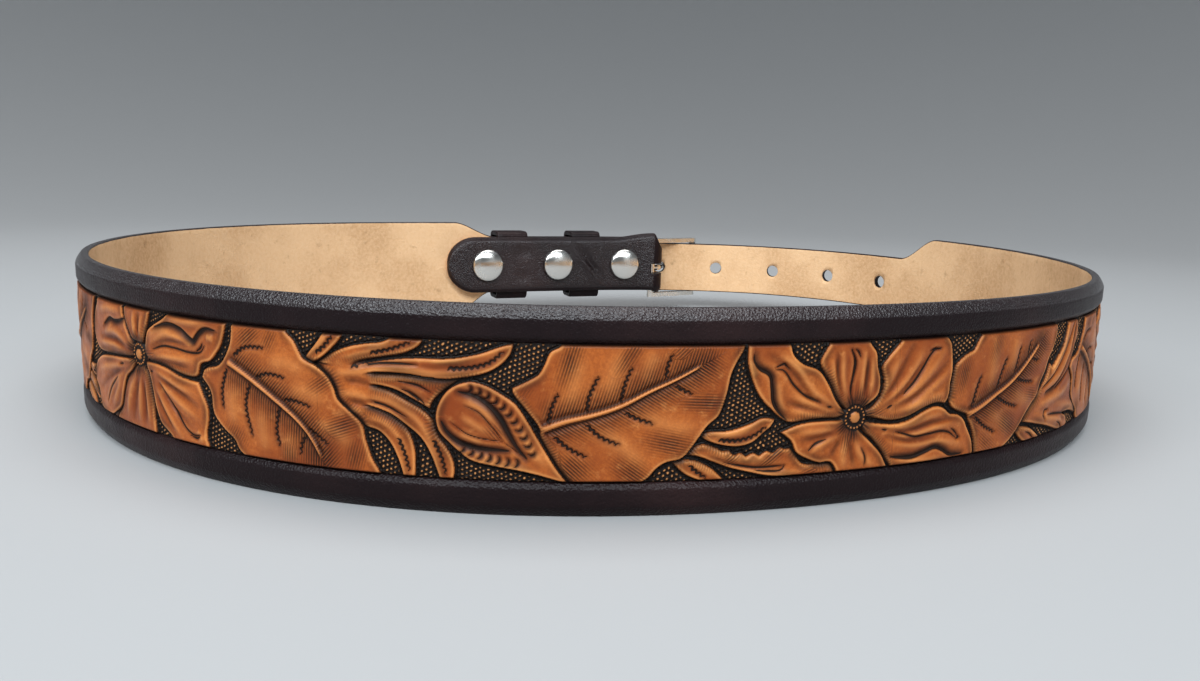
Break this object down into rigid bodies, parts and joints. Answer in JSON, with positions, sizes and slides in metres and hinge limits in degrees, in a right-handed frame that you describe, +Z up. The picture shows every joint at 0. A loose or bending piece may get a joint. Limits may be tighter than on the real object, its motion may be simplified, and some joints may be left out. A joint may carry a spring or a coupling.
{
  "type": "western tooled belt",
  "caption": "Leather waist belt with raised dark borders round a sunk tooled panel, a snapped fold-back end, keepers, a plain buckle and a punched billet.",
  "frame": {"origin": "middle of the belt's footprint on the surface that it stands on", "axes": "+Z up, along the width of the strap; the middle of the tooled front faces -Y, and the fastening is at +Y; +X is to the right of someone who looks at the front"},
  "size_m": [0.2864, 0.2776, 0.0381],
  "materials": {
    "strap_leather": "hand-tooled, stained and sealed",
    "dark_leather": "dark dyed grain, satin",
    "nickel": "bright nickel plate"
  },
  "bodies": {
    "root": {"belt_strap": "strap_leather", "buckle": "nickel", "keeper_near_buckle": "dark_leather", "keeper_far": "dark_leather", "snap_cap_1": "nickel", "snap_cap_2": "nickel", "snap_cap_3": "nickel", "snap_stud_1": "nickel", "snap_stud_2": "nickel", "snap_stud_3": "nickel"}
  },
  "joints": []
}
